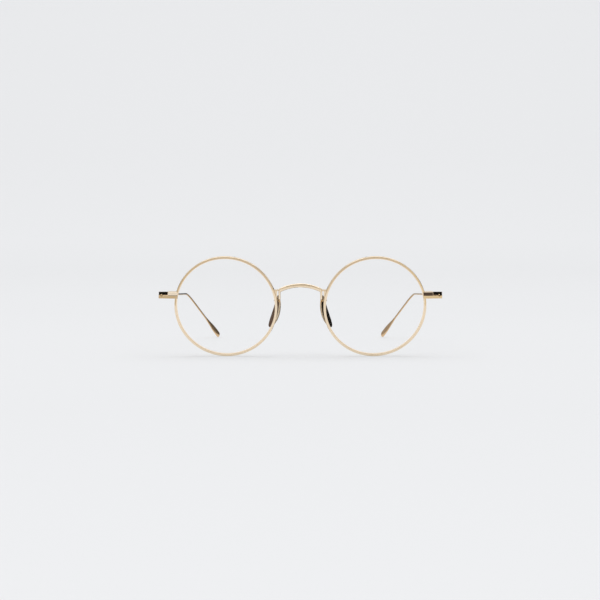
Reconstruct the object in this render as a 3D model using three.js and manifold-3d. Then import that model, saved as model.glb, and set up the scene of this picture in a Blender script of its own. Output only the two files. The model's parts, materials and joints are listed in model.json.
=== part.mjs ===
// Round wire eyeglasses, full size, in millimetres. +Z is up, +Y runs from the lenses back along the
// temples, and +X is the wearer's left. The glasses stand open on their rims and temple tips at Z = 0.
// One side is built with +X pointing outboard, and the wearer's right side is its mirror image.
import * as THREE from "three";
import { mergeVertices } from "three/addons/utils/BufferGeometryUtils.js";
import Module from "manifold-3d";

const wasm = await Module();
wasm.setup();
const degrees = THREE.MathUtils.degToRad;
const vector = (x, y, z) => new THREE.Vector3(x, y, z);

// ---- Driving dimensions ----
const EYE_SPACING = 70.75; // between the lens centres: a 48 mm eye and a 23 mm bridge
const RIM_RADIUS = 24; // from the lens centre to the middle of the rim wire
const RIM_WIDTH = 1.1; // across the wire, as seen from the front
const RIM_DEPTH = 1.5; // along the lens axis
const RIM_EDGE = 0.25; // bevel of the rim's outer edges
const RIM_INNER_EDGE = 0.15;
const LENS_THICKNESS = 1.4;
const LEAN = degrees(12.5); // the front's top stands forward of its bottom
const WRAP = degrees(3); // each rim's temporal side is turned back
const FRONT_HEIGHT = 24.08; // of the lens centres, so that the rims touch Z = 0
const CLEAR = 0.05; // gap between parts that are soldered, clamped or pressed together

const BLOCK_HEIGHT = 3; // of the lock block and endpiece together
const SPLIT_Z = 5.4; // the line between them, above the lens centre
const SPLIT = 0.1; // width of the slit along that line
const BLOCK_FRONT = -1.7; // their front face, from the rim's middle plane
const BLOCK_BACK = 1.1;
const LOCK_FRONT_TOP = -0.95; // the short upper half slopes back to here
const BLOCK_INNER = 22.9; // they reach across the front of the rim wire
const LOCK_OUTER = 27.52; // outboard end of the short upper half
const ENDPIECE_OUTER = 31.87; // outboard end of the endpiece
const LOCK_SCREW_X = 25.95;

const HINGE = vector(65.2, 7, 29.25); // a point on the hinge axis, from the lens centres' line in Y
const HINGE_DROP = degrees(2.6); // the temple falls this much towards the ear
const SPLAY = degrees(3.25); // and runs inwards by this much
const HINGE_HALF = 1.5; // half of the hinge's height
const KNUCKLE_RADIUS = 1.5;
const KNUCKLE_HALF = 0.45; // half the height of the temple's middle knuckle
const LEAF_START = 0.62; // each front leaf starts this far above or below the middle
const PIN_RADIUS = 0.57;
const SLIDE = 0.02; // between faces that turn on each other
const BODY_FRONT = -7.05; // front face of the hinge block
const BODY_BACK = -1.95;
const RIVET = vector(0.8, BODY_FRONT, -0.2); // in the hinge's frame

const SOCKET_END = 6.4; // end of the temple hinge's socket, from the hinge axis
const WIRE_START = 2.9;
const TEMPLE_STRAIGHT = 97; // from the hinge axis to the corner of the ear bend
const TEMPLE_TIP = vector(44.17, 131, 0.61); // middle of the tip, from the same point as HINGE
const BEND_RADIUS = 20;
const WIRE = 0.9; // the temple wire's diameter
const PADDLE_LENGTH = 19;
const PADDLE_WIDTH = 3.1;
const PADDLE_THICKNESS = 0.8;

const PAD_CENTRE = vector(11.6, 6.2, -4.5); // in the front's frame; the pads stand upright
const PAD_SPLAY = degrees(34); // the rear edges stand further apart
const PAD_FLARE = degrees(21.5); // and so do the lower ends
const PAD_LENGTH = 16;
const PAD_WIDTH = 6.4;
const PAD_THICKNESS = 1.2;
const PAD_BOW = 0.02; // per mm: the ends stand back from the nose by this times the square of Z
const PAD_TAPER = 0.26; // the upper end is narrower and the lower end wider by this share
const PIVOT = vector(2, -0.9, 5.2); // of the pad, in the pad's frame
const PIN_HOLE = 0.27;
const ARM_WIRE = 0.8;

const ARCH_RADIUS = 20; // of the bridge, seen from the front
const ARCH_TOP = 10.81; // its middle line, above the lens centres
const ARCH_HALF = { middle: 0.92, end: 0.88 }; // half of its height
const ARCH_END = 9.9; // half of the arch's width
const SEAT_Y = -1.25; // of the bridge's ends: the rims' middle plane at the nose, in the front's frame
const LEG = { inner: 9.4, outer: 10.4, half_depth: 0.62, bottom: 3.9, top: 8.6 }; // beside the rims
const FOOT = { inner: 11.05, outer: 13.4, half_depth: 0.8, bottom: 3.6, top: 8.6 }; // on the rims
const FOOT_TAB = { inner: 10.45, bottom: 8 }; // joins the foot to the leg's upper end

// ---- Materials ----
const metal = (name, color, roughness) =>
  new THREE.MeshStandardMaterial({ name, color, roughness, metalness: 1 });
const PALE_GOLD = metal("pale_gold", 0xe2c99a, 0.16);
const PAD_GOLD = metal("pad_gold", 0xd9c197, 0.28);
const SCREW_GOLD = metal("screw_gold", 0xc9ad78, 0.24);
const NYLON = new THREE.MeshStandardMaterial({ name: "nylon", color: 0x3a3632, roughness: 0.55 });
const CLEAR_LENS = new THREE.MeshStandardMaterial({
  name: "clear_lens", color: 0xf4f7f8, roughness: 0.03, metalness: 0, transparent: true, opacity: 0.12,
});

// ---- Solids ----
// A three.js geometry as a manifold-3d solid, so that solids can be cut and joined.
function solid(geometry, matrix) {
  const bare = geometry.index ? geometry.toNonIndexed() : geometry.clone();
  bare.deleteAttribute("normal");
  bare.deleteAttribute("uv");
  if (matrix) bare.applyMatrix4(matrix);
  const merged = mergeVertices(bare, 1e-4);
  return new wasm.Manifold(new wasm.Mesh({
    numProp: 3,
    vertProperties: merged.attributes.position.array,
    triVerts: new Uint32Array(merged.index.array),
  }));
}

function geometry_of(made) {
  const mesh = made.getMesh();
  return new THREE.BufferGeometry()
    .setAttribute("position", new THREE.BufferAttribute(mesh.vertProperties, 3))
    .setIndex(new THREE.BufferAttribute(mesh.triVerts, 1));
}

const shift = (x, y, z) => new THREE.Matrix4().makeTranslation(x, y, z);

// A box between its lowest and highest corners, turned by matrix where one is given.
function box(low, high, matrix = new THREE.Matrix4()) {
  const size = high.map((value, i) => value - low[i]);
  const middle = high.map((value, i) => (value + low[i]) / 2);
  return solid(new THREE.BoxGeometry(...size), matrix.clone().multiply(shift(...middle)));
}

// An upright rod about the point (x, y), from z = low to z = high.
function post(radius, low, high, sides = 20, x = 0, y = 0) {
  const upright = new THREE.CylinderGeometry(radius, radius, high - low, sides).rotateX(Math.PI / 2);
  return solid(upright, shift(x, y, (low + high) / 2));
}

// A rod along Y about the point (x, z), from y = low to y = high.
function axle(radius, low, high, x, z, matrix = new THREE.Matrix4()) {
  const rod = new THREE.CylinderGeometry(radius, radius, high - low, 20);
  return solid(rod, matrix.clone().multiply(shift(x, (low + high) / 2, z)));
}

// A body turned about the Y axis, from (radius, y) points.
const turned = (points, segments) =>
  new THREE.LatheGeometry(points.map(([r, y]) => new THREE.Vector2(r, y)), segments);

// A rod that follows a curve through the given stations (shares of its length). At each one, shape
// gives the half width across and the half height towards up.
function sweep(curve, stations, shape, up, sides) {
  const steps = stations.length - 1;
  const rod = new THREE.CylinderGeometry(1, 1, 1, sides, steps);
  const place = rod.attributes.position;
  for (let i = 0; i < place.count; i += 1) {
    const u = stations[Math.round((0.5 - place.getY(i)) * steps)];
    const tangent = curve.getTangentAt(u);
    const rise = up.clone().addScaledVector(tangent, -up.dot(tangent)).normalize();
    const across = rise.clone().cross(tangent);
    const [half_width, half_height] = shape(u);
    const point = curve.getPointAt(u)
      .addScaledVector(across, place.getX(i) * half_width)
      .addScaledVector(rise, place.getZ(i) * half_height);
    place.setXYZ(i, point.x, point.y, point.z);
  }
  return geometry_of(solid(rod));
}

const evenly = (steps, from = 0, to = 1) =>
  Array.from({ length: steps + 1 }, (_, i) => from + ((to - from) * i) / steps);

// A slotted screw that points down, with the top of its head at z = top.
function screw({ head, head_height, shank, top, bottom }) {
  const under = top - head_height;
  const profile = [
    [0, bottom], [shank * 0.75, bottom], [shank, bottom + 0.12], [shank, under],
    [head, under], [head, top - 0.1], [head - 0.1, top], [0, top],
  ];
  const slot = box([-head - 1, -0.1, top - 0.16], [head + 1, 0.1, top + 1]);
  return geometry_of(solid(turned(profile, 20).rotateX(Math.PI / 2)).subtract(slot));
}

// ---- Frames: the front, one eye of it, one hinge, one temple and one pad ----
const FRONT = new THREE.Matrix4().makeRotationX(LEAN).setPosition(0, 0, FRONT_HEIGHT);
const EYE_IN_FRONT = new THREE.Matrix4().makeRotationZ(WRAP).setPosition(EYE_SPACING / 2, 0, 0);
const EYE = FRONT.clone().multiply(EYE_IN_FRONT);
const HINGE_FRAME = new THREE.Matrix4().makeRotationX(-HINGE_DROP).setPosition(HINGE);
const TEMPLE = HINGE_FRAME.clone().multiply(new THREE.Matrix4().makeRotationZ(SPLAY));
const EYE_IN_HINGE = HINGE_FRAME.clone().invert().multiply(EYE);
const HINGE_IN_EYE = EYE_IN_HINGE.clone().invert();

// The pad's X points away from the nose, its Y to the rear edge and its Z up along the pad.
const pad_rear = vector(Math.sin(PAD_SPLAY), Math.cos(PAD_SPLAY), 0);
const pad_out = pad_rear.clone().cross(vector(-Math.sin(PAD_FLARE), 0, Math.cos(PAD_FLARE))).normalize();
const pad_up = pad_out.clone().cross(pad_rear);
const PAD_IN_FRONT = new THREE.Matrix4().makeRotationX(-LEAN)
  .multiply(new THREE.Matrix4().makeBasis(pad_out, pad_rear, pad_up)).setPosition(PAD_CENTRE);
const PAD = FRONT.clone().multiply(PAD_IN_FRONT);

// ---- The rim and its lens, in the eye's frame: the lens axis is Y ----
const INNER = RIM_RADIUS - RIM_WIDTH / 2;
const OUTER = RIM_RADIUS + RIM_WIDTH / 2;
const DEPTH = RIM_DEPTH / 2;

function rim() {
  const ring = turned([
    [INNER + 0.5, 0], [INNER, -0.45], [INNER, -DEPTH + RIM_INNER_EDGE], [INNER + RIM_INNER_EDGE, -DEPTH],
    [OUTER - RIM_EDGE, -DEPTH], [OUTER, -DEPTH + RIM_EDGE],
    [OUTER, DEPTH - RIM_EDGE], [OUTER - RIM_EDGE, DEPTH],
    [INNER + RIM_INNER_EDGE, DEPTH], [INNER, DEPTH - RIM_INNER_EDGE], [INNER, 0.45], [INNER + 0.5, 0],
  ], 96);
  const slit = box([20, -3, SPLIT_Z - SPLIT / 2], [27, 3, SPLIT_Z + SPLIT / 2]);
  return geometry_of(solid(ring).subtract(slit));
}

// A disc that covers the rim and a little more, to cut its neighbours with, and another that leaves
// what lies in front of the rim.
const rim_space = (matrix) =>
  solid(new THREE.CylinderGeometry(OUTER + CLEAR, OUTER + CLEAR, 8, 96), matrix);
const rim_pocket = () => rim_space(shift(0, 4 - DEPTH - CLEAR, 0));

function lens() {
  const curve = 130; // radius of both faces
  const half = LENS_THICKNESS / 2;
  const shoulder = INNER - 2 * CLEAR;
  const apex = INNER + 0.4;
  const drop = (r) => Math.sqrt(curve * curve - r * r) - Math.sqrt(curve * curve - shoulder * shoulder);
  const face = (offset) => evenly(5, 0, shoulder).map((r) => [r, offset - drop(r)]);
  const back = face(half).reverse();
  return turned([...face(-half), [shoulder, -0.3], [apex, 0], [shoulder, 0.3], ...back], 72);
}

// ---- The closing block, in the eye's frame ----
const BLOCK_LOW = SPLIT_Z - BLOCK_HEIGHT / 2;
const BLOCK_HIGH = SPLIT_Z + BLOCK_HEIGHT / 2;
const LOCK_SCREW = { head: 0.75, head_height: 0.35, shank: 0.42, top: 1.45, bottom: -1.1 };
const lock_screw_hole = () =>
  post(LOCK_SCREW.shank + CLEAR, BLOCK_LOW - 1, SPLIT_Z + 1.15, 20, LOCK_SCREW_X);

// The short upper half, whose front slopes up and back. The screw's thread ends in it.
function lock_block() {
  const low = SPLIT_Z + SPLIT / 2;
  const profile = new THREE.Shape([
    new THREE.Vector2(BLOCK_FRONT, low), new THREE.Vector2(BLOCK_BACK, low),
    new THREE.Vector2(BLOCK_BACK, BLOCK_HIGH), new THREE.Vector2(LOCK_FRONT_TOP, BLOCK_HIGH),
  ]);
  const bar = new THREE.ExtrudeGeometry(profile, { depth: LOCK_OUTER - BLOCK_INNER, bevelEnabled: false });
  const along = new THREE.Matrix4().makeBasis(vector(0, 1, 0), vector(0, 0, 1), vector(1, 0, 0));
  const placed = along.setPosition(BLOCK_INNER, 0, 0);
  return geometry_of(solid(bar, placed).subtract(rim_pocket()).subtract(lock_screw_hole()));
}

const endpiece_bar = (grow, matrix) => box(
  [BLOCK_INNER, BLOCK_FRONT - grow, BLOCK_LOW - grow],
  [ENDPIECE_OUTER + grow, BLOCK_BACK + grow, SPLIT_Z - SPLIT / 2 + grow], matrix);

// The endpiece: the long lower half, which carries the hinge behind its outboard end.
function endpiece() {
  const seat_top = BLOCK_LOW + LOCK_SCREW.head_height + CLEAR;
  const seat = post(LOCK_SCREW.head + CLEAR, BLOCK_LOW - 1, seat_top, 20, LOCK_SCREW_X);
  const rivet_hole = axle(0.5, BODY_FRONT - 2, BODY_FRONT + 4, RIVET.x, RIVET.z, HINGE_IN_EYE);
  return geometry_of(endpiece_bar(0).subtract(rim_pocket()).subtract(lock_screw_hole())
    .subtract(seat).subtract(rivet_hole));
}

// ---- The hinge, in its own frame: Z is the hinge axis ----
const HEAD_SEAT = 0.4;
const HINGE_SCREW = {
  head: 0.95, head_height: HEAD_SEAT - CLEAR, shank: PIN_RADIUS, top: HINGE_HALF, bottom: -1.45,
};

// A block behind and above the endpiece, with an upper and a lower leaf round the screw.
function front_hinge() {
  const body = box([-2.1, BODY_FRONT, -HINGE_HALF], [2.1, BODY_BACK, HINGE_HALF]);
  const leaf = (low, high) => box([-KNUCKLE_RADIUS, BODY_BACK - 0.2, low], [KNUCKLE_RADIUS, 0, high])
    .add(post(KNUCKLE_RADIUS, low, high, 28));
  const screw_hole = post(PIN_RADIUS + CLEAR, -2, 2);
  const head_seat = post(HINGE_SCREW.head + CLEAR, HINGE_HALF - HEAD_SEAT, 2, 24);
  const rivet_hole = axle(0.5, BODY_FRONT - 1, BODY_FRONT + 1.85, RIVET.x, RIVET.z);
  return geometry_of(body.add(leaf(LEAF_START, HINGE_HALF)).add(leaf(-HINGE_HALF, -LEAF_START))
    .subtract(screw_hole).subtract(head_seat).subtract(rivet_hole)
    .subtract(endpiece_bar(CLEAR, EYE_IN_HINGE)));
}

const WASHER = LEAF_START - KNUCKLE_HALF - 2 * SLIDE; // thickness
const washer = () => turned([
  [PIN_RADIUS + CLEAR, -WASHER / 2], [KNUCKLE_RADIUS - 0.1, -WASHER / 2],
  [KNUCKLE_RADIUS - 0.1, WASHER / 2], [PIN_RADIUS + CLEAR, WASHER / 2],
  [PIN_RADIUS + CLEAR, -WASHER / 2],
], 24).rotateX(Math.PI / 2);

// A rivet with a domed head that joins the hinge block to the endpiece.
const rivet = () => turned([
  [0, -0.32], [0.26, -0.26], [0.44, -0.05], [0.44, 1.8], [0, 1.8],
], 20);

// ---- The temple, in its own frame: Y runs along it from the hinge axis ----
function temple_hinge() {
  const knuckle = post(KNUCKLE_RADIUS - 0.05, -KNUCKLE_HALF, KNUCKLE_HALF, 28);
  const neck = box([-0.85, 0, -KNUCKLE_HALF], [0.85, 2.6, KNUCKLE_HALF]);
  const socket = box([-0.85, 2.2, -1], [0.85, SOCKET_END, 1]);
  const screw_hole = post(PIN_RADIUS + CLEAR, -2, 2);
  const wire_hole = box([-0.55, WIRE_START - CLEAR, -0.7], [0.55, SOCKET_END + 1, 0.7]);
  return geometry_of(knuckle.add(neck).add(socket).subtract(screw_hole).subtract(wire_hole));
}

// Straight from the hinge, round the ear bend, and straight down and inwards to the tip.
function temple_path() {
  const start = vector(0, WIRE_START, 0);
  const corner = vector(0, TEMPLE_STRAIGHT, 0);
  const tip = TEMPLE_TIP.clone().applyMatrix4(TEMPLE.clone().invert());
  const ahead = vector(0, 1, 0);
  const tail = tip.clone().sub(corner).normalize();
  const reach = BEND_RADIUS * Math.tan(ahead.angleTo(tail) / 2);
  const bend_start = corner.clone().addScaledVector(ahead, -reach);
  const bend_end = corner.clone().addScaledVector(tail, reach);
  const path = new THREE.CurvePath();
  path.add(new THREE.LineCurve3(start, bend_start));
  path.add(new THREE.QuadraticBezierCurve3(bend_start, corner, bend_end));
  path.add(new THREE.LineCurve3(bend_end, tip));
  return path;
}

// The wire is a little taller than wide at the hinge, round at the bend, and flattened to a paddle.
function temple_wire() {
  const path = temple_path();
  const length = path.getLength();
  const shape = (u) => {
    const from_hinge = u * length;
    const to_tip = length - from_hinge;
    const near_hinge = Math.max(0, 1 - from_hinge / 60);
    const paddle = 1 - THREE.MathUtils.smoothstep(to_tip, 5, PADDLE_LENGTH);
    const width = THREE.MathUtils.lerp(WIRE, PADDLE_THICKNESS, paddle);
    const height = THREE.MathUtils.lerp(WIRE + near_hinge * 0.35, PADDLE_WIDTH, paddle);
    const rounding = to_tip < 1.7 ? Math.sqrt(1 - ((1.7 - to_tip) / 1.7) ** 2 * 0.94) : 1;
    return [(width / 2) * Math.sqrt(rounding), (height / 2) * rounding];
  };
  const at = (from_tip) => 1 - from_tip / length;
  const stations = [
    ...evenly(5, 0, at(52)), ...evenly(3, at(49), at(PADDLE_LENGTH + 24)), ...evenly(12, at(41), at(27)),
    at(23), ...evenly(9, at(PADDLE_LENGTH), at(3)), at(1.7), at(1.1), at(0.6), at(0.25), at(0.05), 1,
  ];
  return sweep(path, stations, shape, vector(0, 0, 1), 12);
}

// ---- The nose pad and what holds it, in the pad's frame ----
const LUG_HALF = 0.3; // half of the thickness of the pad's lug
const CHEEK = { inner: 0.35, outer: 0.8, half: 0.55, web: 2.6, back: 3.05 };
const pivot_hole = () => axle(PIN_HOLE, PIVOT.y - 2, PIVOT.y + 2, PIVOT.x, PIVOT.z);

function nose_pad() {
  const face = [0, 0.25, 0.5, 0.72, 0.88, 0.97]
    .map((share) => [share, (PAD_THICKNESS / 2) * Math.sqrt(1 - share ** 3)]);
  const below = face.map(([share, x]) => [share, -x]);
  const disc = turned([...below, [1, 0], ...face.reverse()], 40)
    .rotateZ(-Math.PI / 2).scale(1, PAD_WIDTH / 2, PAD_LENGTH / 2);
  const points = disc.attributes.position;
  for (let i = 0; i < points.count; i += 1) {
    const z = points.getZ(i);
    points.setX(i, points.getX(i) + PAD_BOW * z * z);
    points.setY(i, points.getY(i) * (1 - (PAD_TAPER * z * 2) / PAD_LENGTH));
  }
  const [low, high] = [PIVOT.y - LUG_HALF, PIVOT.y + LUG_HALF];
  const lug = box([PAD_BOW * PIVOT.z ** 2, low, PIVOT.z - 0.45], [PIVOT.x, high, PIVOT.z + 0.45])
    .add(axle(0.5, low, high, PIVOT.x, PIVOT.z));
  return geometry_of(solid(disc).add(lug).subtract(pivot_hole()));
}

// A small fork round the pad's lug.
function pad_box() {
  const { inner, outer, half, web, back } = CHEEK;
  const plate = (from_x, from_y, to_y) =>
    box([from_x, PIVOT.y + from_y, PIVOT.z - half], [back, PIVOT.y + to_y, PIVOT.z + half]);
  const cheek = (from_y, to_y) => plate(PIVOT.x, from_y, to_y)
    .add(axle(half, PIVOT.y + from_y, PIVOT.y + to_y, PIVOT.x, PIVOT.z));
  return geometry_of(cheek(-outer, -inner).add(cheek(inner, outer)).add(plate(web, -outer, outer))
    .subtract(pivot_hole()));
}
const PAD_SCREW = { head: 0.42, head_height: 0.25, shank: 0.22, top: 1.1, bottom: -0.78 };

// A wire from the back of the rim, in a small hook behind it, to the top of the pad's box.
function pad_arm() {
  const box_top = PIVOT.z + CHEEK.half + CLEAR;
  const end = vector(PIVOT.x + 0.35, PIVOT.y, box_top).applyMatrix4(PAD_IN_FRONT);
  const before = vector(PIVOT.x + 0.35, PIVOT.y, box_top + 0.8).applyMatrix4(PAD_IN_FRONT);
  const path = new THREE.CatmullRomCurve3([
    vector(11.8, SEAT_Y + DEPTH + 1.5 * CLEAR, 3.8), vector(11.8, 1, 3.9), vector(11.9, 2.6, 3.7),
    before, end,
  ]);
  return sweep(path, evenly(24), () => [ARM_WIRE / 2, ARM_WIRE / 2], vector(1, 0, 0), 12);
}

// ---- The bridge and its feet, in the front's frame ----
// A shallow arch, thickest in the middle, with a short leg down from each end.
function bridge() {
  const knots = evenly(12, -ARCH_END, ARCH_END).map((x) => {
    const fall = ARCH_RADIUS - Math.sqrt(ARCH_RADIUS ** 2 - x ** 2);
    return vector(x, SEAT_Y - 0.6 * (1 - (x / ARCH_END) ** 2), ARCH_TOP - fall);
  });
  const shape = (u) => {
    const narrow = THREE.MathUtils.smoothstep(Math.abs(u - 0.5) * 2, 0.1, 1);
    return [
      THREE.MathUtils.lerp(ARCH_HALF.middle, ARCH_HALF.end, narrow),
      THREE.MathUtils.lerp(0.6, LEG.half_depth, narrow),
    ];
  };
  const arch = solid(sweep(new THREE.CatmullRomCurve3(knots), evenly(40), shape, vector(0, 1, 0), 16));
  const leg = (sign) => {
    const [near, far] = [sign * LEG.inner, sign * LEG.outer].sort((a, b) => a - b);
    return box([near, SEAT_Y - LEG.half_depth, LEG.bottom], [far, SEAT_Y + LEG.half_depth, LEG.top]);
  };
  return geometry_of(arch.add(leg(1)).add(leg(-1)));
}

// A plate soldered to the rim, with a tab at its top that meets the bridge's leg.
function bridge_foot() {
  const { inner, outer, half_depth, bottom, top } = FOOT;
  const piece = (from_x, from_z) =>
    box([from_x, SEAT_Y - half_depth, from_z], [outer, SEAT_Y + half_depth, top]);
  const plate = piece(inner, bottom);
  const tab = piece(FOOT_TAB.inner, FOOT_TAB.bottom);
  return geometry_of(plate.add(tab).subtract(rim_space(EYE_IN_FRONT)));
}

// ---- The whole ----
// Each entry: name, geometry, material, its place.
const washer_at = (z) => HINGE_FRAME.clone().multiply(shift(0, 0, z));
const washer_middle = (LEAF_START + KNUCKLE_HALF) / 2;
const lock_screw_place = EYE.clone().multiply(
  new THREE.Matrix4().makeRotationX(Math.PI)
    .setPosition(LOCK_SCREW_X, 0, BLOCK_LOW + LOCK_SCREW.top));
const pad_screw_place = PAD.clone().multiply(
  new THREE.Matrix4().makeRotationX(Math.PI / 2).setPosition(PIVOT));
const rivet_place = HINGE_FRAME.clone().multiply(shift(RIVET.x, RIVET.y, RIVET.z));

const SIDE_PARTS = [
  ["rim", rim(), PALE_GOLD, EYE],
  ["lens", lens(), CLEAR_LENS, EYE],
  ["lock_block", lock_block(), PALE_GOLD, EYE],
  ["lock_screw", screw(LOCK_SCREW), SCREW_GOLD, lock_screw_place],
  ["endpiece", endpiece(), PALE_GOLD, EYE],
  ["front_hinge", front_hinge(), PALE_GOLD, HINGE_FRAME],
  ["hinge_rivet", rivet(), SCREW_GOLD, rivet_place],
  ["hinge_screw", screw(HINGE_SCREW), SCREW_GOLD, HINGE_FRAME],
  ["hinge_washer_upper", washer(), NYLON, washer_at(washer_middle)],
  ["hinge_washer_lower", washer(), NYLON, washer_at(-washer_middle)],
  ["temple_hinge", temple_hinge(), PALE_GOLD, TEMPLE],
  ["temple_wire", temple_wire(), PALE_GOLD, TEMPLE],
  ["bridge_foot", bridge_foot(), PALE_GOLD, FRONT],
  ["pad_arm", pad_arm(), PALE_GOLD, FRONT],
  ["pad_box", pad_box(), PALE_GOLD, PAD],
  ["pad_screw", screw(PAD_SCREW), SCREW_GOLD, pad_screw_place],
  ["nose_pad", nose_pad(), PAD_GOLD, PAD],
];

const group = new THREE.Group();
group.name = "eyeglasses";
function place(parent, name, geometry, material, matrix) {
  const mesh = new THREE.Mesh(geometry, material.clone());
  mesh.name = name;
  mesh.applyMatrix4(matrix);
  parent.add(mesh);
}
for (const [side, mirror] of [["left", 1], ["right", -1]]) {
  const half = new THREE.Group();
  half.scale.x = mirror;
  for (const [name, geometry, material, matrix] of SIDE_PARTS) {
    place(half, `${name}_${side}`, geometry, material, matrix);
  }
  group.add(half);
}
place(group, "bridge", bridge(), PALE_GOLD, FRONT);

// The origin is the middle of the footprint.
const bounds = new THREE.Box3().setFromObject(group, true);
group.position.y = -(bounds.min.y + bounds.max.y) / 2;

export default group;
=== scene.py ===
"""Round metal eyeglasses with clear lenses, standing open on a pale studio floor. The scene is in metres."""
import json
import math
from itertools import product

import bmesh
import bpy
from mathutils import Matrix, Vector


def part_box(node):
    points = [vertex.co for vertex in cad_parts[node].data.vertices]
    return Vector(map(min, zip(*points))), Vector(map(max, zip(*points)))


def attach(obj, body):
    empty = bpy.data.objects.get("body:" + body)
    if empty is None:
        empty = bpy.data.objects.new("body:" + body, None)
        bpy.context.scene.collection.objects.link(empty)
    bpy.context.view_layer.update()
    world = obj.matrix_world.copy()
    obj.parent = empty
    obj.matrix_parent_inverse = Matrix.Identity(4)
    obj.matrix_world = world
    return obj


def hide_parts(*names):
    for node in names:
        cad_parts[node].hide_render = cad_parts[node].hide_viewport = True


MM = 0.001

# ---- The glasses' dimensions, in millimetres as in the CAD model ----
RIM_RADIUS = 24
RIM_WIDTH = 1.1
RIM_DEPTH = 1.5
RIM_EDGE = 0.25
RIM_INNER_EDGE = 0.15
RIM_ARC_STEPS, RIM_STEPS = 6, 320
GROOVE_DEPTH, GROOVE_HALF = 0.5, 0.47  # the lens's groove, in the rim's inside
GROOVE_LIP_DEPTH, GROOVE_LIP_HALF = 0.04, 0.42
LEAN = math.radians(12.5)
WRAP = math.radians(3)
SPLIT_Z = 5.4
SPLIT = 0.1
LENS_CURVE = 130
LENS_HALF = 0.7
LENS_GAP = 0.1  # between the lens's shoulder and the rim's inside
LENS_BEVEL = 0.5  # height of the pointed ground edge
BEVEL_FOOT, BEVEL_HALF = 0.12, 0.28
LENS_RINGS, LENS_SEGMENTS = 24, 160
HINGE_DROP = math.radians(2.6)
SPLAY = math.radians(3.25)
WIRE_START = 2.9
TEMPLE_STRAIGHT = 97
TEMPLE_TIP = (44.17, 131, 0.61)
BEND_RADIUS = 20
WIRE = 0.9
WIRE_TALLER, TALLER_LENGTH = 0.35, 60  # the wire's extra height at the hinge, and how far it runs
PADDLE_LENGTH = 19
PADDLE_FLAT = 5  # length at full width
PADDLE_WIDTH = 3.1
PADDLE_THICKNESS = 0.8
TIP_RUN = 2.5  # length with closer points
TIP_ROUNDING = 1.7
TIP_BLUNT = 0.05  # share of the size that is left at the very tip
STRAIGHT_STEPS, BEND_STEPS, TAIL_STEPS, TIP_STEPS = 40, 24, 50, 14
TEMPLE_SIDES = 24
PAD_CENTRE = (11.6, 6.2, -4.5)
PAD_SPLAY = math.radians(34)
PAD_FLARE = math.radians(21.5)
PAD_LENGTH = 16
PAD_WIDTH = 6.4
PAD_THICKNESS = 1.2
PAD_BOW = 0.02
PAD_TAPER = 0.26
PAD_SEGMENTS = 96
PIVOT = (2, -0.9, 5.2)
PIN_HOLE = 0.27
LUG_HALF = 0.3
LUG_RADIUS, LUG_FOOT = 0.5, 0.45
CHEEK_HALF = 0.55
ARM_WIRE = 0.8
ARM_ROOT_X, ARM_ROOT_Z = 11.8, 3.8
ARM_HOOK = ((11.8, 1, 3.9), (11.9, 2.6, 3.7))
ARM_OFFSET = 0.35  # of the arm's end outboard of the pad's pivot
ARM_END_RUN = 0.8
ARM_STEPS, ARM_SIDES = 14, 20
SEAT_Y = -1.25
ARCH_RADIUS = 20
ARCH_TOP = 10.81
ARCH_HALF_MIDDLE, ARCH_HALF_END = 0.92, 0.88
ARCH_END = 9.9
ARCH_FORWARD = 0.6  # of the middle in front of the ends
ARCH_HALF_DEPTH = 0.6
ARCH_SQUARE = 3.4  # 2 would make the section an ellipse
ARCH_SPANS, ARCH_STEPS, ARCH_SIDES = 12, 8, 40
LEG_INNER, LEG_OUTER = 9.4, 10.4
LEG_BOTTOM, LEG_TOP = 3.9, 8.6
LEG_HALF_DEPTH = 0.62
LEG_EDGE = 0.16
CLEAR = 0.05
EDGE = 0.07  # rounding of the small metal parts' edges
BEVEL_ANGLE = math.radians(32)  # edges sharper than this are rounded
CREASE_ANGLE = math.radians(38)  # edges sharper than this are shaded sharp

# ---- Surfaces ----
GRAIN_HEIGHT = 0.00002  # metres, of the finest relief
COATING_IOR = 1.12  # low, because a coated lens hardly reflects

# ---- Studio, in metres ----
CAMERA_BACK = 0.9  # from the lens centres
CAMERA_SIDE = -0.0002
CAMERA_HEIGHT = 0.0745
CAMERA_TILT = math.radians(3.014)
CAMERA_LENS, CAMERA_SENSOR = 113.8, 36  # millimetres
OVERHEAD_POWER = 20
WORLD_LEVEL = 0.82
PAPER = (0.980, 0.987, 1.0)  # the studio's cool white
PAPER_WHITE = 0.4  # share of the light on it that the paper reflects
FLOOR_FRONT, FLOOR_HALF_WIDTH = -3, 4
FLOOR_BEND, FLOOR_CURVE = 1.0, 1.2  # where the floor starts to curve up, and the radius of that curve
WALL_TOP = 4
FLOOR_NEAR, FLOOR_FAR = -0.8, 2.2  # ends of the glow's range
FLOOR_GLOW = (  # the floor's own light at each distance behind the origin
    (-0.8, 0.413), (-0.6, 0.400), (-0.46, 0.382), (-0.3, 0.364), (0.3, 0.349), (0.7, 0.360), (1.05, 0.379),
    (1.26, 0.402), (1.56, 0.404), (1.86, 0.422),
)

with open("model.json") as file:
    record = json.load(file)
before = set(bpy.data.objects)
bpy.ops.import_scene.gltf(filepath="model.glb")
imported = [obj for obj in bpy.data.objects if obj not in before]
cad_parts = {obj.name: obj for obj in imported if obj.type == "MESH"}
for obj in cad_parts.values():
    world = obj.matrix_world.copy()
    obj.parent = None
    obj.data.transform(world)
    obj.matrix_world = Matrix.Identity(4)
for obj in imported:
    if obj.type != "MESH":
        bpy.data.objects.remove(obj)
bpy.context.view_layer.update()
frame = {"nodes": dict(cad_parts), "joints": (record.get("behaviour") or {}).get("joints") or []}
nodes = frame["nodes"]
scene = bpy.context.scene
scene.view_settings.view_transform = "Standard"


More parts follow.
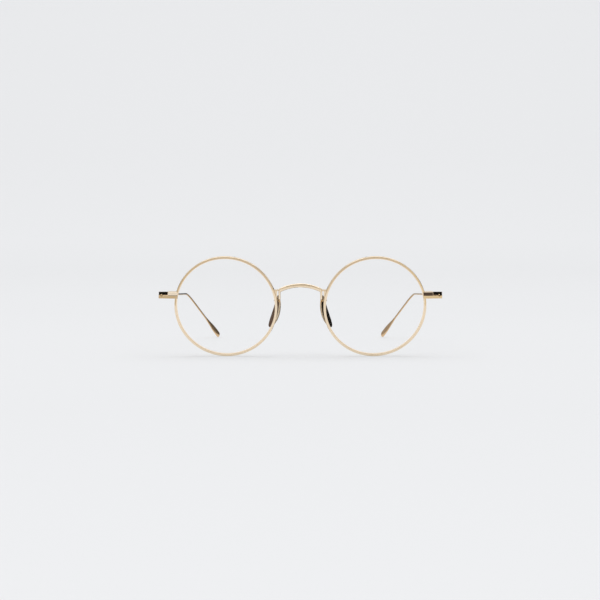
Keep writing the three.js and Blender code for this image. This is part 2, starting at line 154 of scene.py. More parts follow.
# ---- Frames ----
def basis(x_axis, y_axis, z_axis, origin):
    """The frame with these axes."""
    columns = Matrix((x_axis, y_axis, z_axis)).transposed().to_4x4()
    columns.translation = Vector(origin)
    return columns


rim_low, rim_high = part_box("rim_left")
eye_centre = (rim_low + rim_high) / 2 / MM
FRONT = Matrix.Translation((0, eye_centre.y, eye_centre.z)) @ Matrix.Rotation(LEAN, 4, "X")
EYE_IN_FRONT = Matrix.Translation((eye_centre.x, 0, 0)) @ Matrix.Rotation(WRAP, 4, "Z")
EYE = FRONT @ EYE_IN_FRONT
joints = {joint["name"]: joint for joint in frame["joints"]}
hinge_point = Vector(joints["left_temple_fold"]["pos_m"]) / MM
HINGE_FRAME = Matrix.Translation(hinge_point) @ Matrix.Rotation(-HINGE_DROP, 4, "X")
TEMPLE = HINGE_FRAME @ Matrix.Rotation(SPLAY, 4, "Z")
pad_rear = Vector((math.sin(PAD_SPLAY), math.cos(PAD_SPLAY), 0))
pad_out = pad_rear.cross(Vector((-math.sin(PAD_FLARE), 0, math.cos(PAD_FLARE)))).normalized()
pad_up = pad_out.cross(pad_rear)
UPRIGHT = Matrix.Translation(PAD_CENTRE) @ Matrix.Rotation(-LEAN, 4, "X")
PAD_IN_FRONT = UPRIGHT @ basis(pad_out, pad_rear, pad_up, (0, 0, 0))
PAD = FRONT @ PAD_IN_FRONT
MIRROR = Matrix.Diagonal((-1, 1, 1, 1))


# ---- Mesh making: points in millimetres, in the given frame, mirrored for the right side ----
def make_mesh(name, points, faces, place, side):
    """A smooth-shaded piece in metres, with its faces turned outwards."""
    matrix = Matrix.Scale(MM, 4) @ (MIRROR if side == "right" else Matrix.Identity(4)) @ place
    mesh = bpy.data.meshes.new(name)
    mesh.from_pydata([matrix @ Vector(p) for p in points], [], faces)
    mesh.validate()
    work = bmesh.new()
    work.from_mesh(mesh)
    bmesh.ops.recalc_face_normals(work, faces=work.faces)
    work.to_mesh(mesh)
    work.free()
    mesh.polygons.foreach_set("use_smooth", [True] * len(mesh.polygons))
    return linked(name, mesh)


def linked(name, mesh):
    """A piece with this mesh, in the scene."""
    piece = bpy.data.objects.new(name, mesh)
    scene.collection.objects.link(piece)
    return piece


def flat_faces_first(piece):
    """Shades flat faces flat, so that only the narrow rounded edges between them turn."""
    shading = piece.modifiers.new("shading", "WEIGHTED_NORMAL")
    shading.mode = "FACE_AREA"
    shading.weight = 100
    shading.keep_sharp = True
    return piece


def sweep_parts(curve, half_sizes, sides, up, power=2):
    """Points and faces of a closed rod along a list of points. half_sizes gives its half width and height.
    Its section is an ellipse, or squarer where power is above 2."""
    points, faces = [], []
    last = len(curve) - 1
    for i, point in enumerate(curve):
        tangent = (curve[min(i + 1, last)] - curve[max(i - 1, 0)]).normalized()
        rise = (up - tangent * up.dot(tangent)).normalized()
        across = rise.cross(tangent)
        half_width, half_height = half_sizes[i]
        for j in range(sides):
            turn = 2 * math.pi * j / sides
            wide, high = (math.copysign(abs(value) ** (2 / power), value)
                          for value in (math.sin(turn), math.cos(turn)))
            points.append(point + across * (wide * half_width) + rise * (high * half_height))
    for i in range(last):
        for j in range(sides):
            k = (j + 1) % sides
            faces.append((i * sides + j, i * sides + k, (i + 1) * sides + k, (i + 1) * sides + j))
    points += [curve[0], curve[-1]]
    for j in range(sides):
        k = (j + 1) % sides
        faces.append((k, j, len(points) - 2))
        faces.append((last * sides + j, last * sides + k, len(points) - 1))
    return points, faces


def box_parts(low, high):
    """Points and faces of a box."""
    points = [Vector(corner) for corner in product(*zip(low, high))]
    faces = [(0, 1, 3, 2), (4, 6, 7, 5), (0, 4, 5, 1), (2, 3, 7, 6), (0, 2, 6, 4), (1, 5, 7, 3)]
    return points, faces


def mark_creases(work):
    """Shades a bmesh smooth, except across its sharp edges."""
    for face in work.faces:
        face.smooth = True
    for edge in work.edges:
        edge.smooth = len(edge.link_faces) == 2 and edge.calc_face_angle() < CREASE_ANGLE


def crease(piece):
    """Smooth shading that stops at the sharp edges."""
    work = bmesh.new()
    work.from_mesh(piece.data)
    mark_creases(work)
    work.to_mesh(piece.data)
    work.free()
    return piece


def soften(work, width):
    """Rounds the sharp edges of a bmesh in millimetres, and marks how it is shaded."""
    bmesh.ops.remove_doubles(work, verts=work.verts, dist=1e-4)
    bmesh.ops.dissolve_limit(work, angle_limit=math.radians(1), verts=work.verts, edges=work.edges)
    sharp = [edge for edge in work.edges
             if len(edge.link_faces) == 2 and edge.calc_face_angle() > BEVEL_ANGLE
             and edge.calc_length() > width]
    bmesh.ops.bevel(work, geom=sharp, offset=width, segments=2, profile=0.5, affect="EDGES",
                    clamp_overlap=False)
    mark_creases(work)


def refined(node, width=EDGE):
    """A copy of a small CAD part with its edges rounded."""
    work = bmesh.new()
    work.from_mesh(nodes[node].data)
    work.transform(Matrix.Scale(1 / MM, 4))
    soften(work, width)
    work.transform(Matrix.Scale(MM, 4))
    mesh = bpy.data.meshes.new(f"{node}_finished")
    work.to_mesh(mesh)
    work.free()
    return flat_faces_first(linked(f"{node}_finished", mesh))


def joined(name, first, others, operation="UNION"):
    """One mesh from overlapping closed pieces, which are used up."""
    for other in others:
        cut = first.modifiers.new("join", "BOOLEAN")
        cut.operation = operation
        cut.solver = "EXACT"
        cut.object = other
    evaluated = first.evaluated_get(bpy.context.evaluated_depsgraph_get())
    mesh = bpy.data.meshes.new_from_object(evaluated)
    for used in (first, *others):
        bpy.data.objects.remove(used)
    mesh.name = name
    return linked(name, mesh)


def lerp(a, b, share):
    return a + (b - a) * share


def smoothstep(value, low, high):
    """0 up to low, 1 from high on, and a smooth rise between them."""
    share = min(1, max(0, (value - low) / (high - low)))
    return share * share * (3 - 2 * share)


def catmull_rom(points, steps):
    """A smooth curve through the points, steps samples to each span."""
    ends = [points[0] * 2 - points[1], *points, points[-1] * 2 - points[-2]]
    curve = []
    for a, b, c, d in zip(ends, ends[1:], ends[2:], ends[3:]):
        for i in range(steps):
            t = i / steps
            curve.append(0.5 * (2 * b + (c - a) * t + (2 * a - 5 * b + 4 * c - d) * t * t
                                + (3 * b - a - 3 * c + d) * t ** 3))
    curve.append(points[-1])
    return curve


# ---- Pieces ----
def rim(side):
    """The ring, open at its slit. Its outside is rounded and its inside holds the lens's groove."""
    inner, outer, depth = RIM_RADIUS - RIM_WIDTH / 2, RIM_RADIUS + RIM_WIDTH / 2, RIM_DEPTH / 2
    section = [(inner + GROOVE_DEPTH, 0), (inner + GROOVE_LIP_DEPTH, -GROOVE_LIP_HALF), (inner, -GROOVE_HALF)]
    for r_sign, y_sign, start, size in ((-1, -1, 180, RIM_INNER_EDGE), (1, -1, 270, RIM_EDGE),
                                        (1, 1, 0, RIM_EDGE), (-1, 1, 90, RIM_INNER_EDGE)):
        centre_r = (outer - size) if r_sign > 0 else (inner + size)
        centre_y = y_sign * (depth - size)
        for i in range(RIM_ARC_STEPS + 1):
            turn = math.radians(start + 90 * i / RIM_ARC_STEPS)
            section.append((centre_r + size * math.cos(turn), centre_y + size * math.sin(turn)))
    section += [(inner, GROOVE_HALF), (inner + GROOVE_LIP_DEPTH, GROOVE_LIP_HALF)]
    low = math.asin((SPLIT_Z + SPLIT / 2) / RIM_RADIUS)
    high = math.asin((SPLIT_Z - SPLIT / 2) / RIM_RADIUS) + 2 * math.pi
    count = len(section)
    points = []
    for i in range(RIM_STEPS + 1):
        turn = lerp(low, high, i / RIM_STEPS)
        points += [Vector((r * math.cos(turn), y, r * math.sin(turn))) for r, y in section]
    faces = []
    for i in range(RIM_STEPS):
        for j in range(count):
            k = (j + 1) % count
            faces.append((i * count + j, i * count + k, (i + 1) * count + k, (i + 1) * count + j))
    faces.append(tuple(range(count))[::-1])
    faces.append(tuple(RIM_STEPS * count + j for j in range(count)))
    return make_mesh(f"rim_wire_{side}", points, faces, EYE, side)


def lens(side):
    """A curved lens. Its ground edge, in the rim's groove, has the mesh's second material, which has a
    painted glow.
    """
    shoulder = RIM_RADIUS - RIM_WIDTH / 2 - LENS_GAP

    def bulge(r):
        return math.sqrt(LENS_CURVE ** 2 - r * r) - math.sqrt(LENS_CURVE ** 2 - shoulder ** 2)

    rings, segments = LENS_RINGS, LENS_SEGMENTS
    front = [(shoulder * i / rings, -LENS_HALF - bulge(shoulder * i / rings)) for i in range(rings + 1)]
    back = [(r, y + 2 * LENS_HALF) for r, y in reversed(front)]
    foot = shoulder + BEVEL_FOOT
    ground = [(foot, -BEVEL_HALF), (shoulder + LENS_BEVEL, 0), (foot, BEVEL_HALF)]
    ground_bands = range(rings - 1, rings + len(ground))
    profile = front[1:] + ground + back[:-1]
    points = [Vector((0, front[0][1], 0))]
    turns = [2 * math.pi * j / segments for j in range(segments)]
    for r, y in profile:
        points += [Vector((r * math.cos(turn), y, r * math.sin(turn))) for turn in turns]
    points.append(Vector((0, back[-1][1], 0)))
    faces = []
    for j in range(segments):
        k = (j + 1) % segments
        faces.append((0, 1 + j, 1 + k))
        faces.append((len(points) - 1, len(points) - 1 - segments + k, len(points) - 1 - segments + j))
        for i in range(len(profile) - 1):
            a, b = 1 + i * segments, 1 + (i + 1) * segments
            faces.append((a + j, b + j, b + k, a + k))
    piece = make_mesh(f"lens_glass_{side}", points, faces, EYE, side)
    per_segment = len(faces) // segments
    for face in piece.data.polygons:
        band = face.index % per_segment - 2  # two triangles come before each segment's bands
        face.material_index = int(band in ground_bands)
    return piece


def rounded_box(name, low, high, place, side, width):
    """A box with every edge rounded."""
    points, faces = box_parts(low, high)
    work = bmesh.new()
    corners = [work.verts.new(point) for point in points]
    for face in faces:
        work.faces.new([corners[k] for k in face])
    bmesh.ops.bevel(work, geom=list(work.edges), offset=width, segments=3, profile=0.5, affect="EDGES")
    work.verts.index_update()
    points = [vert.co.copy() for vert in work.verts]
    faces = [tuple(vert.index for vert in face.verts) for face in work.faces]
    work.free()
    return make_mesh(name, points, faces, place, side)


def bridge():
    """A shallow arch, thickest in the middle, that runs into a short leg at each end."""
    knots = []
    for i in range(ARCH_SPANS + 1):
        x = lerp(-ARCH_END, ARCH_END, i / ARCH_SPANS)
        fall = ARCH_RADIUS - math.sqrt(ARCH_RADIUS ** 2 - x * x)
        knots.append(Vector((x, SEAT_Y - ARCH_FORWARD * (1 - (x / ARCH_END) ** 2), ARCH_TOP - fall)))
    curve = catmull_rom(knots, ARCH_STEPS)
    sizes = []
    for i in range(len(curve)):
        narrow = smoothstep(abs(i / (len(curve) - 1) - 0.5) * 2, 0.1, 1)
        sizes.append((lerp(ARCH_HALF_MIDDLE, ARCH_HALF_END, narrow),
                      lerp(ARCH_HALF_DEPTH, LEG_HALF_DEPTH, narrow)))
    points, faces = sweep_parts(curve, sizes, ARCH_SIDES, Vector((0, 1, 0)), ARCH_SQUARE)
    arch = make_mesh("arch", points, faces, FRONT, "left")
    legs = []
    for side in ("left", "right"):
        low = (LEG_INNER, SEAT_Y - LEG_HALF_DEPTH, LEG_BOTTOM)
        high = (LEG_OUTER, SEAT_Y + LEG_HALF_DEPTH, LEG_TOP)
        legs.append(rounded_box(f"leg_{side}", low, high, FRONT, side, LEG_EDGE))
    return flat_faces_first(crease(joined("bridge_arch", arch, legs)))


def pad_arm(side):
    """A wire from the back of the rim, in a small hook behind it, to the top of the pad's box."""
    box_top = PIVOT[2] + CHEEK_HALF + CLEAR
    end = PAD_IN_FRONT @ Vector((PIVOT[0] + ARM_OFFSET, PIVOT[1], box_top))
    before = PAD_IN_FRONT @ Vector((PIVOT[0] + ARM_OFFSET, PIVOT[1], box_top + ARM_END_RUN))
    root = Vector((ARM_ROOT_X, SEAT_Y + RIM_DEPTH / 2 + 1.5 * CLEAR, ARM_ROOT_Z))
    knots = [root, *(Vector(knot) for knot in ARM_HOOK), before, end]
    curve = catmull_rom(knots, ARM_STEPS)
    sizes = [(ARM_WIRE / 2, ARM_WIRE / 2)] * len(curve)
    points, faces = sweep_parts(curve, sizes, ARM_SIDES, Vector((1, 0, 0)))
    return crease(make_mesh(f"pad_arm_wire_{side}", points, faces, FRONT, side))


def nose_pad(side):
    """A thin bowed drop of metal, domed on both faces, with a lug on its back."""
    half, segments = PAD_THICKNESS / 2, PAD_SEGMENTS
    shares = [math.sin(math.radians(a)) for a in range(6, 90, 6)]
    face = [(share, half * math.sqrt(1 - share ** 3)) for share in shares]
    profile = [(share, -x) for share, x in face] + [(1, 0)] + face[::-1]

    def pad_point(share, x, turn):
        y, z = share * math.cos(turn) * PAD_WIDTH / 2, share * math.sin(turn) * PAD_LENGTH / 2
        return Vector((x + PAD_BOW * z * z, y * (1 - PAD_TAPER * z * 2 / PAD_LENGTH), z))

    points = [Vector((-half, 0, 0))]
    for share, x in profile:
        points += [pad_point(share, x, 2 * math.pi * j / segments) for j in range(segments)]
    points.append(Vector((half, 0, 0)))
    faces = []
    for j in range(segments):
        k = (j + 1) % segments
        faces.append((0, 1 + k, 1 + j))
        faces.append((len(points) - 1, len(points) - 1 - segments + j, len(points) - 1 - segments + k))
        for i in range(len(profile) - 1):
            a, b = 1 + i * segments, 1 + (i + 1) * segments
            faces.append((a + j, a + k, b + k, b + j))
    plate = make_mesh(f"plate_{side}", points, faces, PAD, side)

    pivot_x, pivot_y, pivot_z = PIVOT
    foot_x = PAD_BOW * pivot_z ** 2  # where the lug meets the bowed plate
    outline = [(foot_x, pivot_z - LUG_FOOT), (pivot_x, pivot_z - LUG_RADIUS)]
    for turn in (math.radians(a) for a in range(15, 166, 15)):
        outline.append((pivot_x + LUG_RADIUS * math.sin(turn), pivot_z - LUG_RADIUS * math.cos(turn)))
    outline += [(pivot_x, pivot_z + LUG_RADIUS), (foot_x, pivot_z + LUG_FOOT)]
    lug = extruded(f"lug_{side}", outline, pivot_y - LUG_HALF, pivot_y + LUG_HALF, PAD, side)
    turns = [math.radians(a) for a in range(0, 360, 15)]
    circle = [(pivot_x + PIN_HOLE * math.cos(turn), pivot_z + PIN_HOLE * math.sin(turn)) for turn in turns]
    hole = extruded(f"hole_{side}", circle, pivot_y - 1, pivot_y + 1, PAD, side)
    lug = joined(f"lug_{side}", lug, [hole], "DIFFERENCE")
    return crease(joined(f"pad_plate_{side}", plate, [lug]))


def extruded(name, outline, low, high, place, side):
    """A prism along Y, between low and high, on an outline of (x, z) points."""
    count = len(outline)
    points = [Vector((x, y, z)) for y in (low, high) for x, z in outline]
    faces = [tuple(range(count)), tuple(range(2 * count - 1, count - 1, -1))]
    for j in range(count):
        k = (j + 1) % count
        faces.append((k, j, count + j, count + k))
    return make_mesh(name, points, faces, place, side)


def temple_curve():
    """Points from the hinge round the ear bend to the tip, and each one's distance to the tip."""
    start, corner = Vector((0, WIRE_START, 0)), Vector((0, TEMPLE_STRAIGHT, 0))
    hinge_line = Vector((0, eye_centre.y, 0))
    tip = TEMPLE.inverted() @ (hinge_line + Vector(TEMPLE_TIP))
    ahead, tail = Vector((0, 1, 0)), (tip - corner).normalized()
    reach = BEND_RADIUS * math.tan(ahead.angle(tail) / 2)
    bend_start, bend_end = corner - ahead * reach, corner + tail * reach
    curve = [start.lerp(bend_start, i / STRAIGHT_STEPS) for i in range(STRAIGHT_STEPS)]
    for i in range(BEND_STEPS):
        t = i / BEND_STEPS
        curve.append(bend_start * (1 - t) ** 2 + corner * (2 * t * (1 - t)) + bend_end * t * t)
    span = (tip - bend_end).length
    curve += [bend_end.lerp(tip, i / TAIL_STEPS * (span - TIP_RUN) / span) for i in range(TAIL_STEPS)]
    for i in range(TIP_STEPS + 1):
        curve.append(tip - tail * (TIP_RUN * math.cos(math.pi / 2 * i / TIP_STEPS)))
    left = [0.0] * len(curve)
    for i in range(len(curve) - 2, -1, -1):
        left[i] = left[i + 1] + (curve[i + 1] - curve[i]).length
    return curve, left


def temple_wire(side):
    """A wire that is a little taller near the hinge and flattens into a paddle with a rounded tip."""
    curve, left = temple_curve()
    sizes = []
    for to_tip in left:
        from_hinge = left[0] - to_tip
        paddle = 1 - smoothstep(to_tip, PADDLE_FLAT, PADDLE_LENGTH)
        width = lerp(WIRE, PADDLE_THICKNESS, paddle)
        height = lerp(WIRE + max(0, 1 - from_hinge / TALLER_LENGTH) * WIRE_TALLER, PADDLE_WIDTH, paddle)
        cut_off = max(0, (TIP_ROUNDING - to_tip) / TIP_ROUNDING)
        rounding = max(math.sqrt(max(0, 1 - cut_off ** 2)), TIP_BLUNT)
        sizes.append((width / 2 * math.sqrt(rounding), height / 2 * rounding))
    points, faces = sweep_parts(curve, sizes, TEMPLE_SIDES, Vector((0, 0, 1)))
    return make_mesh(f"temple_arm_{side}", points, faces, TEMPLE, side)


# ---- Materials ----
def new_material(name):
    """A material with its node tree and its shader."""
    material = bpy.data.materials.new(name)
    material.use_nodes = True
    tree = material.node_tree
    return material, tree, tree.nodes["Principled BSDF"]


def noise(tree, scale, detail):
    """Noise that stays with the piece."""
    place = tree.nodes.new("ShaderNodeTexCoord")
    texture = tree.nodes.new("ShaderNodeTexNoise")
    texture.inputs["Scale"].default_value = scale
    texture.inputs["Detail"].default_value = detail
    tree.links.new(place.outputs["Object"], texture.inputs["Vector"])
    return texture.outputs["Fac"]


def two_tone(tree, value, dark, light, low, high):
    """Makes the base colour go from dark to light as the value goes from low to high."""
    tint = tree.nodes.new("ShaderNodeValToRGB")
    for stop, position, color in zip(tint.color_ramp.elements, (low, high), (dark, light)):
        stop.position = position
        stop.color = (*color, 1)
    tree.links.new(value, tint.inputs["Fac"])
    tree.links.new(tint.outputs["Color"], tree.nodes["Principled BSDF"].inputs["Base Color"])


def grained(tree, value, strength):
    """Raises and lowers the surface by the value."""
    bump = tree.nodes.new("ShaderNodeBump")
    bump.inputs["Strength"].default_value = strength
    bump.inputs["Distance"].default_value = GRAIN_HEIGHT
    tree.links.new(value, bump.inputs["Height"])
    tree.links.new(bump.outputs["Normal"], tree.nodes["Principled BSDF"].inputs["Normal"])


def metal(name, color, deep, roughness):
    """Polished plated metal: a fine grain, a few faint smudges in its gloss, a little colour variation."""
    material, tree, shader = new_material(name)
    smudge = noise(tree, scale=420, detail=4)
    two_tone(tree, smudge, deep, color, low=0.35, high=0.65)
    gloss = tree.nodes.new("ShaderNodeMapRange")
    gloss.inputs["From Min"].default_value = 0.3
    gloss.inputs["From Max"].default_value = 0.75
    gloss.inputs["To Min"].default_value = roughness * 0.8
    gloss.inputs["To Max"].default_value = roughness * 1.35
    tree.links.new(smudge, gloss.inputs["Value"])
    tree.links.new(gloss.outputs["Result"], shader.inputs["Roughness"])
    grained(tree, noise(tree, scale=3800, detail=2), strength=0.05)
    shader.inputs["Metallic"].default_value = 1
    return material


def clear_lens():
    """Thin coated lens resin: clear, with a faint cool gloss that grows towards grazing angles."""
    material, tree, shader = new_material("clear_lens")
    add, link = tree.nodes.new, tree.links.new
    shader.inputs["Base Color"].default_value = (0.93, 0.96, 0.97, 1)
    shader.inputs["Metallic"].default_value = 1
    shader.inputs["Roughness"].default_value = 0.02
    through = add("ShaderNodeBsdfTransparent")
    through.inputs["Color"].default_value = (0.998, 0.998, 0.998, 1)
    coating = add("ShaderNodeFresnel")
    coating.inputs["IOR"].default_value = COATING_IOR
    mix = add("ShaderNodeMixShader")
    link(coating.outputs["Fac"], mix.inputs["Fac"])
    link(through.outputs["BSDF"], mix.inputs[1])
    link(shader.outputs["BSDF"], mix.inputs[2])
    link(mix.outputs["Shader"], tree.nodes["Material Output"].inputs["Surface"])
    return material


def matt(name, dark, light, roughness):
    """A fine matt surface with faint speckles."""
    material, tree, shader = new_material(name)
    speckle = noise(tree, scale=2600, detail=3)
    two_tone(tree, speckle, dark, light, low=0, high=1)
    grained(tree, speckle, strength=0.15)
    shader.inputs["Roughness"].default_value = roughness
    return material


PALE_GOLD = metal("pale_gold", (0.96, 0.795, 0.585), (0.93, 0.76, 0.55), 0.05)
PAD_GOLD = metal("pad_gold", (0.88, 0.74, 0.56), (0.84, 0.70, 0.52), 0.09)
SCREW_GOLD = metal("screw_gold", (0.84, 0.66, 0.4), (0.78, 0.6, 0.36), 0.18)
NYLON = matt("nylon", (0.03, 0.028, 0.026), (0.05, 0.047, 0.043), 0.5)
# The lens's ground edge: matt, with a painted glow in its emission that brightens the shaded groove.
GROUND_EDGE_GLOW = matt("ground_edge_glow", (0.30, 0.27, 0.23), (0.38, 0.34, 0.29), 0.6)
ground_edge_glow = GROUND_EDGE_GLOW.node_tree.nodes["Principled BSDF"]
ground_edge_glow.inputs["Emission Color"].default_value = (0.66, 0.57, 0.46, 1)  # painted glow: emission that stands in for light carried through the lens to its edge
ground_edge_glow.inputs["Emission Strength"].default_value = 1
LENS = clear_lens()


def finish_piece(piece, material, slot, body, *replaced):
    """Gives a piece its material, the body it rides on and the nodes it stands for. The slot is not used."""
    piece.data.materials.append(material)
    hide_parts(*replaced)
    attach(piece, body)


SMALL_PARTS = {  # slot: material, rounding of the edges, nodes without their side
    "pale_gold": (PALE_GOLD, EDGE, ("lock_block", "endpiece", "front_hinge", "bridge_foot", "pad_box")),
    "screw_gold": (SCREW_GOLD, EDGE / 3, ("lock_screw", "hinge_rivet", "hinge_screw", "pad_screw")),
    "nylon": (NYLON, EDGE / 3, ("hinge_washer_upper", "hinge_washer_lower")),
}
for side in ("left", "right"):
    temple = f"{side}_temple"
    finish_piece(rim(side), PALE_GOLD, "pale_gold", "front", f"rim_{side}")
    glass = lens(side)
    finish_piece(glass, LENS, "clear_lens", "front", f"lens_{side}")
    glass.data.materials.append(GROUND_EDGE_GLOW)
    finish_piece(pad_arm(side), PALE_GOLD, "pale_gold", "front", f"pad_arm_{side}")
    finish_piece(nose_pad(side), PAD_GOLD, "pad_gold", f"{side}_nose_pad", f"nose_pad_{side}")
    finish_piece(temple_wire(side), PALE_GOLD, "pale_gold", temple, f"temple_wire_{side}")
    finish_piece(refined(f"temple_hinge_{side}"), PALE_GOLD, "pale_gold", temple, f"temple_hinge_{side}")
    for slot, (material, width, kinds) in SMALL_PARTS.items():
        for kind in kinds:
            finish_piece(refined(f"{kind}_{side}", width), material, slot, "front", f"{kind}_{side}")
finish_piece(bridge(), PALE_GOLD, "pale_gold", "front", "bridge")


# ---- The studio ----
def glow(name, color, paper=0.0):
    """A material that gives off an even light and reflects a share of the light on it, as paper does."""
    material, _, shader = new_material(name)
    shader.inputs["Base Color"].default_value = (*[channel * paper for channel in PAPER], 1)
    shader.inputs["Roughness"].default_value = 0.9
    shader.inputs["Specular IOR Level"].default_value = 0
    shader.inputs["Emission Color"].default_value = (*color, 1)
    shader.inputs["Emission Strength"].default_value = 1
    return material


def stage_mesh(name, points, faces, material):
    """A piece of the studio, which is no part of the glasses."""
    mesh = bpy.data.meshes.new(name)
    mesh.from_pydata(points, [], faces)
    mesh.polygons.foreach_set("use_smooth", [True] * len(faces))
    mesh.materials.append(material)
    piece = linked(name, mesh)
    return piece


def floor():
    """A pale sweep: a level floor that curves up into a wall far behind the glasses. Its own light is weakest
    a little behind the glasses."""
    profile = [(FLOOR_FRONT, 0), (FLOOR_BEND, 0)]
    for turn in (math.radians(a) for a in range(3, 91, 3)):
        rise = FLOOR_CURVE - FLOOR_CURVE * math.cos(turn)
        profile.append((FLOOR_BEND + FLOOR_CURVE * math.sin(turn), rise))
    profile.append((FLOOR_BEND + FLOOR_CURVE, WALL_TOP))
    points, faces = [], []
    for x in (-FLOOR_HALF_WIDTH, FLOOR_HALF_WIDTH):
        points += [Vector((x, y, z)) for y, z in profile]
    count = len(profile)
    for i in range(count - 1):
        faces.append((i, i + 1, count + i + 1, count + i)[::-1])
    material = glow("floor_paper", PAPER, PAPER_WHITE)
    tree = material.node_tree
    place = tree.nodes.new("ShaderNodeTexCoord")
    axes = tree.nodes.new("ShaderNodeSeparateXYZ")
    tree.links.new(place.outputs["Object"], axes.inputs["Vector"])
    depth = tree.nodes.new("ShaderNodeMapRange")
    depth.inputs["From Min"].default_value = FLOOR_NEAR
    depth.inputs["From Max"].default_value = FLOOR_FAR
    tree.links.new(axes.outputs["Y"], depth.inputs["Value"])
    ramp = tree.nodes.new("ShaderNodeValToRGB")
    stops = ramp.color_ramp.elements
    while len(stops) < len(FLOOR_GLOW):
        stops.new(0.5)
    for stop, (y, level) in zip(stops, FLOOR_GLOW):
        stop.position = (y - FLOOR_NEAR) / (FLOOR_FAR - FLOOR_NEAR)
        stop.color = (*[channel * level for channel in PAPER], 1)
    tree.links.new(depth.outputs["Result"], ramp.inputs["Fac"])
    tree.links.new(ramp.outputs["Color"], tree.nodes["Principled BSDF"].inputs["Emission Color"])
    stage_mesh("floor", points, faces, material)


def reflected_only(name, points, faces, color):
    """A card in the studio that only reflections see."""
    piece = stage_mesh(name, points, faces, glow(name, color))
    piece.visible_camera = False
    piece.visible_diffuse = False
    piece.visible_shadow = False
    piece.visible_transmission = False


def round_card(name, turn, rise, color, radius):
    """Part of a sphere round the glasses. turn is measured from the camera's side towards +X and rise from
    the horizon, each as a pair of degrees."""
    columns, rows = 24, 12
    points, faces = [], []
    for i in range(columns + 1):
        for j in range(rows + 1):
            a = math.radians(lerp(*turn, i / columns))
            e = math.radians(lerp(*rise, j / rows))
            direction = Vector((math.sin(a) * math.cos(e), -math.cos(a) * math.cos(e), math.sin(e)))
            points.append(direction * radius + Vector((0, eye_centre.y, eye_centre.z)) * MM)
    for i in range(columns):
        for j in range(rows):
            k = i * (rows + 1) + j
            faces.append((k, k + 1, k + rows + 2, k + rows + 1))
    reflected_only(name, points, faces, color)


def flat_card(name, corner, along, across, color):
    """A rectangle between one corner and the corners beside it."""
    corner, along, across = Vector(corner), Vector(along), Vector(across)
    points = [corner, corner + along, corner + along + across, corner + across]
    reflected_only(name, points, [(0, 1, 2, 3)], color)


def area_light(name, place, aim, size, power):
    """A rectangular soft light that faces a point."""
    data = bpy.data.lights.new(name, "AREA")
    data.shape = "RECTANGLE"
    data.size, data.size_y = size
    data.energy = power
    light = bpy.data.objects.new(name, data)
    light.location = place
    light.rotation_euler = (Vector(aim) - Vector(place)).to_track_quat("-Z", "Y").to_euler()
    scene.collection.objects.link(light)


def grey(level):
    return (level, level, level)


FRONT_Y = eye_centre.y * MM  # of the lens centres
CARD_LIFT = 0.0004  # of the floor cards above the floor
floor()
ROUND_CARDS = (  # name, turn, rise, color, radius
    ("behind_camera", (-22, 22), (-4, 12), grey(0.005), 0.66),
    ("front", (-60, 60), (6, 62), (0.58, 0.56, 0.53), 0.7),
    ("lock_left", (-22, -2), (16, 34), (0.83, 0.86, 0.93), 0.66),
    ("lock_right", (2, 22), (12, 34), (0.085, 0.07, 0.065), 0.66),
    ("right", (50, 95), (-3, 48), grey(0.015), 0.7),
    ("right_rear", (95, 150), (-3, 17), grey(0.015), 0.7),
    ("left", (-140, -60), (-3, 17), (0.17, 0.145, 0.12), 0.7),
)
for name, turn, rise, color, radius in ROUND_CARDS:
    round_card(f"card_{name}", turn, rise, color, radius)
BESIDE, AHEAD, BEHIND = 0.066, FRONT_Y - 0.044, FRONT_Y + 0.045  # edges of the floor cards round the front
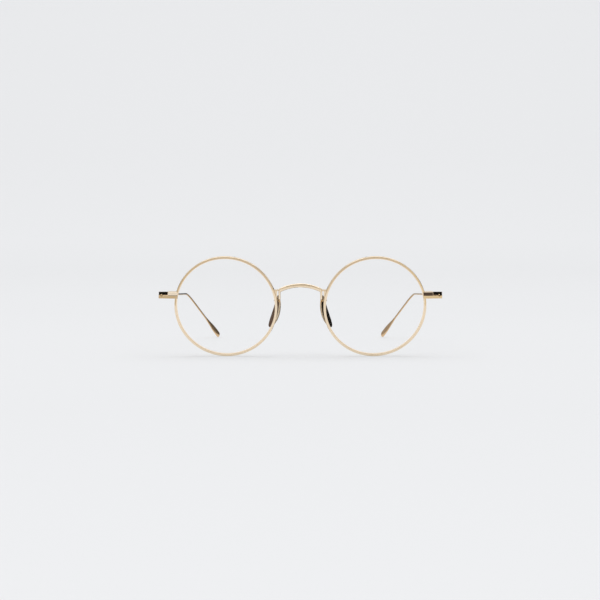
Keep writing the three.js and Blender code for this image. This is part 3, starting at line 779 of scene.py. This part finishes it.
FLAT_CARDS = (  # name, corner, along, across, color
    ("wing_left", (-BESIDE, AHEAD, CARD_LIFT), (-0.1, 0, 0), (0, -0.2, 0), (0.57, 0.51, 0.41)),
    ("wing_right", (BESIDE, AHEAD, CARD_LIFT), (0.1, 0, 0), (0, -0.2, 0), (0.71, 0.65, 0.52)),
    ("floor_near", (-BESIDE, AHEAD - 0.018, CARD_LIFT), (2 * BESIDE, 0, 0), (0, -0.012, 0), (0.7, 0.66, 0.6)),
    ("floor_front", (-BESIDE, AHEAD - 0.03, CARD_LIFT), (2 * BESIDE, 0, 0), (0, -0.3, 0), (0.62, 0.58, 0.54)),
    ("floor_rear", (-0.3, BEHIND, CARD_LIFT), (0.6, 0, 0), (0, 0.2, 0), (0.66, 0.56, 0.45)),
    ("floor_middle_left", (-0.039, BEHIND, 2 * CARD_LIFT), (0.037, 0, 0), (0, 0.2, 0), (0.17, 0.14, 0.11)),
    ("floor_middle_right", (0.002, BEHIND, 2 * CARD_LIFT), (0.036, 0, 0), (0, 0.2, 0), (0.33, 0.28, 0.23)),
    ("nose_left", (-0.001, FRONT_Y - 0.004, 0), (0, 0.064, 0), (0, 0, 0.036), grey(0.015)),
    ("nose_right", (0.001, FRONT_Y - 0.004, 0), (0, 0.064, 0), (0, 0, 0.036), (0.30, 0.25, 0.20)),
    ("pad_left", (-0.030, FRONT_Y + 0.006, 0), (0, 0.044, 0), (0, 0, 0.06), (0.12, 0.09, 0.08)),
    ("pad_right", (0.030, FRONT_Y + 0.006, 0), (0, 0.044, 0), (0, 0, 0.06), grey(0.01)),
    ("middle_left", (-0.002, BEHIND + 0.015, 0), (0, 0.22, 0), (0, 0, 0.03), (0.10, 0.08, 0.065)),
    ("middle_right", (0.002, BEHIND + 0.015, 0), (0, 0.22, 0), (0, 0, 0.03), (0.34, 0.29, 0.24)),
    ("rear_left", (-0.10, 0.25, 0), (0.098, 0, 0), (0, 0, 0.06), grey(0.06)),
    ("rear_right", (0.002, 0.25, 0), (0.098, 0, 0), (0, 0, 0.06), (0.42, 0.38, 0.33)),
)
for name, corner, along, across, color in FLAT_CARDS:
    flat_card(f"card_{name}", corner, along, across, color)
area_light("overhead", (0, 0.1, 1.6), (0, 0, 0), (2.4, 2.0), OVERHEAD_POWER)
world = bpy.data.worlds.new("studio")
scene.world = world
world.use_nodes = True
sky = world.node_tree.nodes["Background"]
sky.inputs["Color"].default_value = (*PAPER, 1)
sky.inputs["Strength"].default_value = WORLD_LEVEL

camera_data = bpy.data.cameras.new("camera")
camera_data.lens = CAMERA_LENS
camera_data.sensor_width = CAMERA_SENSOR
camera = bpy.data.objects.new("camera", camera_data)
camera.location = (CAMERA_SIDE, FRONT_Y - CAMERA_BACK, CAMERA_HEIGHT)
camera.rotation_euler = (math.pi / 2 - CAMERA_TILT, 0, 0)
scene.collection.objects.link(camera)
scene.camera = camera
